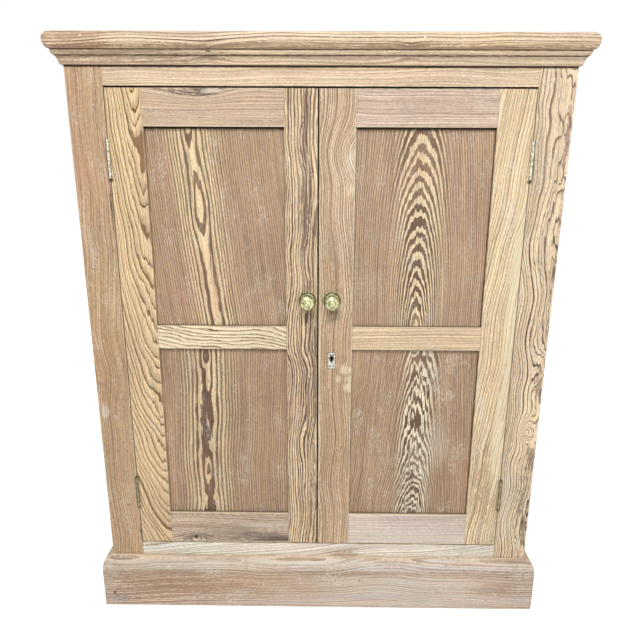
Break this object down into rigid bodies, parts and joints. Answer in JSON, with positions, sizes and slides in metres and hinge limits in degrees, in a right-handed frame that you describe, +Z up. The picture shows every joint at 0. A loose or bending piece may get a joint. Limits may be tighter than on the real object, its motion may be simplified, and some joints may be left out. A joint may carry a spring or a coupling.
{
  "type": "larder cupboard",
  "caption": "Free-standing pine larder cupboard with a moulded top, plinth, inner shelves, and framed and panelled doors on butt hinges with brass knobs and a lock.",
  "frame": {"origin": "bottom centre of the whole cupboard's box, on the floor", "axes": "+Z up, -Y towards the user (the doors), +X to the right as seen from the front"},
  "size_m": [1.053, 0.491, 1.294],
  "materials": {
    "waxed_pine": "stripped and lightly waxed",
    "dry_deal": "bare, dry",
    "aged_brass": "aged, polished by hand wear",
    "worn_nickel": "worn, scratched",
    "bright_steel": "bright from sliding",
    "hinge_steel": "dull",
    "black_iron": "blackened"
  },
  "bodies": {
    "carcass": {"frame_left_stile": "waxed_pine", "frame_right_stile": "waxed_pine", "frame_top_rail": "waxed_pine", "frame_bottom_rail": "waxed_pine", "left_side": "waxed_pine", "right_side": "waxed_pine", "top_board": "waxed_pine", "bed_mould_front": "waxed_pine", "bed_mould_left": "waxed_pine", "bed_mould_right": "waxed_pine", "plinth_front": "waxed_pine", "plinth_left": "waxed_pine", "plinth_right": "waxed_pine", "floor_board": "dry_deal", "back_board_1": "dry_deal", "back_board_2": "dry_deal", "back_board_3": "dry_deal", "back_board_4": "dry_deal", "lower_shelf": "dry_deal", "middle_shelf": "dry_deal", "upper_shelf": "dry_deal", "top_stop": "dry_deal", "lower_shelf_left_bearer": "dry_deal", "lower_shelf_right_bearer": "dry_deal", "middle_shelf_left_bearer": "dry_deal", "middle_shelf_right_bearer": "dry_deal", "upper_shelf_left_bearer": "dry_deal", "upper_shelf_right_bearer": "dry_deal", "left_upper_hinge_frame_leaf": "hinge_steel", "left_lower_hinge_frame_leaf": "hinge_steel", "right_upper_hinge_frame_leaf": "hinge_steel", "right_lower_hinge_frame_leaf": "hinge_steel"},
    "left_door": {"left_door_hinge_stile": "waxed_pine", "left_door_meeting_stile": "waxed_pine", "left_door_top_rail": "waxed_pine", "left_door_middle_rail": "waxed_pine", "left_door_bottom_rail": "waxed_pine", "left_door_upper_panel": "waxed_pine", "left_door_lower_panel": "waxed_pine", "left_upper_hinge_door_leaf": "hinge_steel", "left_lower_hinge_door_leaf": "hinge_steel", "left_knob": "aged_brass", "left_knob_rose": "aged_brass", "top_bolt_plate": "black_iron", "lock_keep": "black_iron"},
    "right_door": {"right_door_hinge_stile": "waxed_pine", "right_door_meeting_stile": "waxed_pine", "right_door_top_rail": "waxed_pine", "right_door_middle_rail": "waxed_pine", "right_door_bottom_rail": "waxed_pine", "right_door_upper_panel": "waxed_pine", "right_door_lower_panel": "waxed_pine", "right_upper_hinge_door_leaf": "hinge_steel", "right_lower_hinge_door_leaf": "hinge_steel", "right_knob": "aged_brass", "right_knob_rose": "aged_brass", "escutcheon": "worn_nickel", "lock_case": "black_iron"},
    "top_bolt": {"top_bolt_rod": "bright_steel"},
    "lock_bolt": {"lock_bolt": "bright_steel"}
  },
  "joints": [
    {"name": "left_door_hinge", "type": "hinge", "parent": "carcass", "child": "left_door", "pos_m": [-0.426, -0.2135, 0.682], "axis": [0, 0, -1], "range_deg": [0, 175]},
    {"name": "right_door_hinge", "type": "hinge", "parent": "carcass", "child": "right_door", "pos_m": [0.426, -0.2135, 0.682], "axis": [0, 0, 1], "range_deg": [0, 175]},
    {"name": "top_bolt_slide", "type": "slide", "parent": "left_door", "child": "top_bolt", "axis": [0, 0, 1], "range_m": [0, 0.014]},
    {"name": "lock_bolt_slide", "type": "slide", "parent": "right_door", "child": "lock_bolt", "axis": [-1, 0, 0], "range_m": [0, 0.01]}
  ]
}
